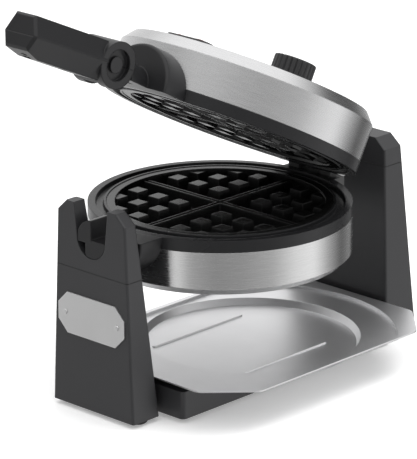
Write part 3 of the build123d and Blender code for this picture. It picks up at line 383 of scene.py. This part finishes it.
def satin_metal(name, colour, roughness, grain=900.0, depth=0.00001, edge=0.0006):
    """Plain satin metal: a soft uneven sheen and no direction."""
    material, tree, shader, coordinates = new_material(name)
    edges = put(tree, "ShaderNodeBevel", {"Radius": edge}, samples=6)
    finish = put(tree, "ShaderNodeGroup", node_tree=grain_group)
    finish.inputs["Grains per metre"].default_value = grain
    finish.inputs["Depth"].default_value = depth
    finish.inputs["Roughness"].default_value = roughness
    tree.links.new(coordinates, finish.inputs["Coordinates"])
    tree.links.new(edges.outputs["Normal"], finish.inputs["Normal"])
    cloud = put(tree, "ShaderNodeTexNoise", {"Vector": coordinates, "Scale": 14.0, "Detail": 4.0})
    shade = put(
        tree,
        "ShaderNodeMapRange",
        {"Value": cloud.outputs["Fac"], "From Min": 0.3, "From Max": 0.7, "To Min": 0.95, "To Max": 1.03},
    )
    tinted = put(
        tree,
        "ShaderNodeVectorMath",
        {0: colour, "Scale": shade.outputs["Result"]},
        operation="SCALE",
    )
    tree.links.new(tinted.outputs[0], shader.inputs["Base Color"])
    tree.links.new(finish.outputs["Roughness"], shader.inputs["Roughness"])
    tree.links.new(finish.outputs["Normal"], shader.inputs["Normal"])
    shader.inputs["Metallic"].default_value = 1.0
    return material


def lens(name, colour):
    """Clear coloured lens over a small lamp."""
    material, tree, shader, coordinates = new_material(name)
    ribs = put(tree, "ShaderNodeTexVoronoi", {"Vector": coordinates, "Scale": 900.0})
    bump = put(tree, "ShaderNodeBump", {"Distance": 0.0001, "Height": ribs.outputs["Distance"]})
    tree.links.new(bump.outputs["Normal"], shader.inputs["Normal"])
    shader.inputs["Base Color"].default_value = colour
    shader.inputs["Roughness"].default_value = 0.1
    shader.inputs["Transmission Weight"].default_value = 0.5
    return material


dark_grey = (0.027, 0.027, 0.029)
finishes = [
    (
        moulded("Tower plastic", dark_grey, 0.42),
        ["base_frame", "base_cover"],
    ),
    (
        moulded("Front tower plastic", dark_grey, 0.42, seam=front_seam),
        ["front_tower", "front_cradle"],
    ),
    (
        moulded("Rear tower plastic", dark_grey, 0.42, seam=rear_seam),
        ["rear_tower", "rear_cap"],
    ),
    (
        moulded("Handle plastic", (0.012, 0.012, 0.013), 0.34, edge=0.0015, specular=0.4),
        ["handle_upper", "handle_lower", "handle_bracket", "front_trunnion", "pivot_pin"],
    ),
    (
        moulded("Knob plastic", (0.02, 0.02, 0.021), 0.38, edge=0.0004),
        ["knob", "lamp_panel"],
    ),
    (
        moulded("Rim plastic", (0.014, 0.014, 0.015), 0.27, edge=0.001, depth=0.00002, specular=0.3),
        ["lower_rim", "upper_rim"],
    ),
    (
        moulded("Coated plate", (0.006, 0.006, 0.006), 0.26, edge=0.001, grain=1500.0),
        ["lower_plate", "upper_plate"],
    ),
    (
        moulded("Foot rubber", (0.02, 0.02, 0.02), 0.7, depth=0.00008),
        ["feet", "cord_gland"],
    ),
    (
        moulded("Bush plastic", (0.5, 0.49, 0.45), 0.5),
        ["shaft_bush", "thermostat"],
    ),
    (
        brushed("Lower brushed sheet", (0.66, 0.66, 0.66), 0.25, 0.0),
        ["lower_band", "lower_cover"],
    ),
    (
        brushed("Lid brushed sheet", (0.64, 0.64, 0.645), 0.27, lid_angle),
        ["upper_band", "upper_cover"],
    ),
    (
        satin_metal("Tray sheet", (0.86, 0.86, 0.87), 0.4),
        ["drip_tray"],
    ),
    (
        satin_metal("Badge sheet", (0.85, 0.85, 0.85), 0.34, edge=0.0004),
        ["name_plate", "plate_rivets"],
    ),
    (
        satin_metal("Plain steel", (0.42, 0.42, 0.42), 0.35, edge=0.0003),
        [
            "base_screws", "tower_screws", "lower_heater", "upper_heater", "lower_plate_screws",
            "upper_plate_screws", "lower_cover_screws", "upper_cover_screws", "side_screws",
            "hinge_pin", "shaft_ring", "hinge_leaf", "grip_screws", "knob_shaft",
        ],
    ),
    (
        satin_metal("Shield sheet", (0.65, 0.65, 0.65), 0.3),
        ["lower_shield", "upper_shield"],
    ),
    (
        moulded("Cast metal", (0.06, 0.06, 0.06), 0.5, grain=1200.0, depth=0.0001),
        ["rear_bracket"],
    ),
    (
        lens("Lamp lens", (0.5, 0.05, 0.03, 1)),
        ["lamp_lenses"],
    ),
]
for material, nodes in finishes:
    for node in nodes:
        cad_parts[node].data.materials.clear()
        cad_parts[node].data.materials.append(material)

# A taller knob than the solid one, so that it stands clear of the lid's edge as in the photograph


def knob_surface(radius, height, flutes, flute_depth, corner, pointer_width, pointer_depth):
    """Corners and faces of a fluted knob round the upright axis, from a function of two parameters.

    Along the first parameter the profile runs out over the top, round the corner and down the side.
    Along the second it goes round: radius = profile radius less the flute's depth times the eighth
    power of a cosine of the angle, and times the twelfth power of the radius as a share of the
    whole, so that the flutes fade out towards the middle of the top. The pointer is a groove in the
    top, from the middle to the edge on the -X side.
    """
    top_rings = 16
    corner_rings = 6
    side_rings = 8
    steps_per_flute = 14
    out = np.linspace(0.05, 1.0, top_rings) * (radius - corner)
    bend = np.radians(np.linspace(15, 90, corner_rings))
    down = np.linspace(height - corner, 0, side_rings + 1)[1:]
    corner_radius = radius - corner + corner * np.sin(bend)
    corner_height = height - corner + corner * np.cos(bend)
    profile_radius = np.concatenate([out, corner_radius, np.full(side_rings, radius)])
    profile_height = np.concatenate([np.full(top_rings, height), corner_height, down])
    angle = np.linspace(0, 2 * np.pi, flutes * steps_per_flute, endpoint=False)
    near_edge = np.clip(profile_radius / radius, 0, 1)[:, None] ** 12
    dip = np.cos(angle * flutes / 2) ** 8
    reach = profile_radius[:, None] - flute_depth * near_edge * dip[None, :]
    x = reach * np.cos(angle)
    y = reach * np.sin(angle)
    z = np.repeat(profile_height[:, None], len(angle), axis=1)
    groove = (x < 0) & (np.abs(y) < pointer_width / 2) & (z > height - corner / 2)
    z = z - pointer_depth * groove
    rings, steps = x.shape
    points = np.stack([x, y, z], axis=-1).reshape(-1, 3)
    points = np.vstack([points, [[0, 0, height], [0, 0, 0]]])
    ring = np.arange(rings - 1)[:, None] * steps
    step = np.arange(steps)[None, :]
    ahead = (step + 1) % steps
    sides = np.stack([ring + step, ring + steps + step, ring + steps + ahead, ring + ahead], axis=-1)
    top = np.stack([np.full(steps, rings * steps), step[0], ahead[0]], axis=-1)
    foot = (rings - 1) * steps
    under = np.stack([np.full(steps, rings * steps + 1), foot + ahead[0], foot + step[0]], axis=-1)
    return points, sides.reshape(-1, 4).tolist() + top.tolist() + under.tolist()


def on_the_lid(points):
    """Points drawn with the lid shut, in the model's frame, swung open about the hinge."""
    turned = Matrix.Rotation(lid_angle, 3, "Y")
    return (points - np.array(hinge_point)) @ np.array(turned).T + np.array(hinge_point)


def new_piece(name, points, faces, body, material, crease=35):
    """A mesh piece at the origin that rides on a body, with its faces smooth up to the crease angle."""
    mesh = bpy.data.meshes.new(name)
    mesh.from_pydata(points.tolist(), [], faces)
    mesh.polygons.foreach_set("use_smooth", np.ones(len(mesh.polygons), dtype=bool))
    mesh.set_sharp_from_angle(angle=math.radians(crease))
    mesh.materials.append(material)
    piece = bpy.data.objects.new(name, mesh)
    bpy.context.scene.collection.objects.link(piece)
    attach(piece, body)
    return piece


knob_points, knob_faces = knob_surface(
    knob_radius,
    knob_height,
    knob_flutes,
    knob_flute_depth,
    knob_corner,
    knob_pointer_width,
    knob_pointer_depth,
)
knob_foot = np.array((iron_centre.x + knob_offset, iron_centre.y, iron_centre.z + knob_base_rise))
knob_points = on_the_lid(knob_points + knob_foot)
knob_piece = new_piece(
    "browning_knob", knob_points, knob_faces, "knob", bpy.data.materials["Knob plastic"]
)
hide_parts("knob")

# Floor: white, brightened a little by its own light so that only the contact shadow shows

floor_mesh = bpy.data.meshes.new("Floor")
floor_corners = [
    (-floor_half, -floor_half, 0),
    (floor_half, -floor_half, 0),
    (floor_half, floor_half, 0),
    (-floor_half, floor_half, 0),
]
floor_mesh.from_pydata(floor_corners, [], [(0, 1, 2, 3)])
floor = bpy.data.objects.new("Floor", floor_mesh)
bpy.context.scene.collection.objects.link(floor)
floor.location = (0, 0, -floor_drop)
floor_material = bpy.data.materials.new("White floor")
floor_material.use_nodes = True
floor_tree = floor_material.node_tree
floor_tree.nodes.clear()
matt = put(floor_tree, "ShaderNodeBsdfDiffuse", {"Color": (floor_white, floor_white, floor_white, 1)})
glow = put(floor_tree, "ShaderNodeEmission", {"Color": (1, 1, 1, 1), "Strength": floor_glow})
both = put(floor_tree, "ShaderNodeAddShader", {0: matt.outputs[0], 1: glow.outputs[0]})
put(floor_tree, "ShaderNodeOutputMaterial", {"Surface": both.outputs[0]})
floor_mesh.materials.append(floor_material)
floor.visible_glossy = False

# World: white to the camera, and a studio of bright and dark upright cards to everything else

roof_brightness = 1.3
world = bpy.data.worlds.new("Studio")
bpy.context.scene.world = world
world.use_nodes = True
sky = world.node_tree
sky.nodes.clear()
direction = put(sky, "ShaderNodeTexCoord").outputs["Generated"]
axes = put(sky, "ShaderNodeSeparateXYZ", {"Vector": direction})
turn = put(sky, "ShaderNodeMath", {0: axes.outputs["Y"], 1: axes.outputs["X"]}, operation="ARCTAN2")
share = put(
    sky,
    "ShaderNodeMapRange",
    {"Value": turn.outputs[0], "From Min": -math.pi, "From Max": math.pi, "To Min": 0.0, "To Max": 1.0},
)


def card_ring(stops):
    """Upright cards all round: the brightness at azimuths from +X in degrees, blended between them."""
    ring = put(sky, "ShaderNodeValToRGB", {"Fac": share.outputs["Result"]})
    ramp = ring.color_ramp
    while len(ramp.elements) < len(stops):
        ramp.elements.new(0.5)
    for element, (azimuth, brightness) in zip(ramp.elements, stops):
        element.position = (azimuth + 180) / 360
        element.color = (brightness, brightness, brightness, 1)
    return ring.outputs["Color"]


low_cards = card_ring(
    [
        (-176, 1.1), (-163, 0.5), (-140, 0.35), (-115, 0.4), (-90, 0.55), (-68, 1.0), (-48, 1.2),
        (-28, 0.5), (-8, 0.12), (20, 0.35), (45, 0.95), (85, 0.8), (125, 0.75), (145, 0.3), (162, 0.05),
    ]
)
high_cards = card_ring(
    [
        (-178, 0.12), (-150, 0.18), (-126, 0.35), (-90, 0.6), (-60, 0.9), (-30, 0.4), (-6, 0.1),
        (14, 0.12), (34, 0.95), (85, 0.8), (125, 0.5), (150, 0.2),
    ]
)
above = put(
    sky,
    "ShaderNodeMapRange",
    {"Value": axes.outputs["Z"], "From Min": -0.05, "From Max": 0.12, "To Min": 0.0, "To Max": 1.0},
)
cards = put(
    sky,
    "ShaderNodeMixRGB",
    {"Fac": above.outputs["Result"], "Color1": low_cards, "Color2": high_cards},
)
overhead = put(
    sky,
    "ShaderNodeMapRange",
    {"Value": axes.outputs["Z"], "From Min": 0.4, "From Max": 0.75, "To Min": 0.0, "To Max": 1.0},
)
roof = put(
    sky,
    "ShaderNodeMixRGB",
    {
        "Fac": overhead.outputs["Result"],
        "Color1": cards.outputs["Color"],
        "Color2": (roof_brightness, roof_brightness, roof_brightness, 1),
    },
)
path = put(sky, "ShaderNodeLightPath")
seen = put(
    sky,
    "ShaderNodeMixRGB",
    {"Fac": path.outputs["Is Camera Ray"], "Color1": roof.outputs["Color"], "Color2": (1, 1, 1, 1)},
)
backdrop = put(sky, "ShaderNodeBackground", {"Color": seen.outputs["Color"], "Strength": 1.0})
put(sky, "ShaderNodeOutputWorld", {"Surface": backdrop.outputs[0]})


def soft_light(name, azimuth, elevation, distance, size, power):
    """Square area light that looks at the iron from an azimuth and elevation in degrees.

    It isn't seen in reflections: the metal mirrors the world's cards alone.
    """
    data = bpy.data.lights.new(name, "AREA")
    data.shape = "SQUARE"
    data.size = size
    data.energy = power
    lamp = bpy.data.objects.new(name, data)
    bpy.context.scene.collection.objects.link(lamp)
    lamp.visible_glossy = False
    a, e = math.radians(azimuth), math.radians(elevation)
    back = Vector((math.sin(a) * math.cos(e), -math.cos(a) * math.cos(e), math.sin(e)))
    lamp.location = iron_centre + back * distance
    lamp.rotation_mode = "QUATERNION"
    lamp.rotation_quaternion = (-back).to_track_quat("-Z", "Y")


soft_light("Key", azimuth=60, elevation=50, distance=1.6, size=0.7, power=9)
soft_light("Top", azimuth=-20, elevation=78, distance=1.5, size=1.2, power=5)
soft_light("Front fill", azimuth=-95, elevation=25, distance=2.2, size=1.4, power=4)

# Camera

camera_data = bpy.data.cameras.new("Camera")
camera_data.lens = camera_lens
camera_data.sensor_width = camera_sensor
camera_data.clip_start = 0.1
camera_data.clip_end = 50
camera = bpy.data.objects.new("Camera", camera_data)
bpy.context.scene.collection.objects.link(camera)
back = Vector(
    (
        math.sin(camera_azimuth) * math.cos(camera_elevation),
        -math.cos(camera_azimuth) * math.cos(camera_elevation),
        math.sin(camera_elevation),
    )
)
right = Vector((math.cos(camera_azimuth), math.sin(camera_azimuth), 0))
up = back.cross(right)
base_point = Vector((iron_centre.x, iron_centre.y, 0))
camera.location = base_point + right * aim_right + up * aim_up + back * camera_distance
turned = Matrix((right, up, back)).transposed() @ Matrix.Rotation(camera_roll, 3, "Z")
camera.rotation_mode = "QUATERNION"
camera.rotation_quaternion = turned.to_quaternion()
bpy.context.scene.camera = camera

bpy.context.scene.view_settings.view_transform = "Standard"
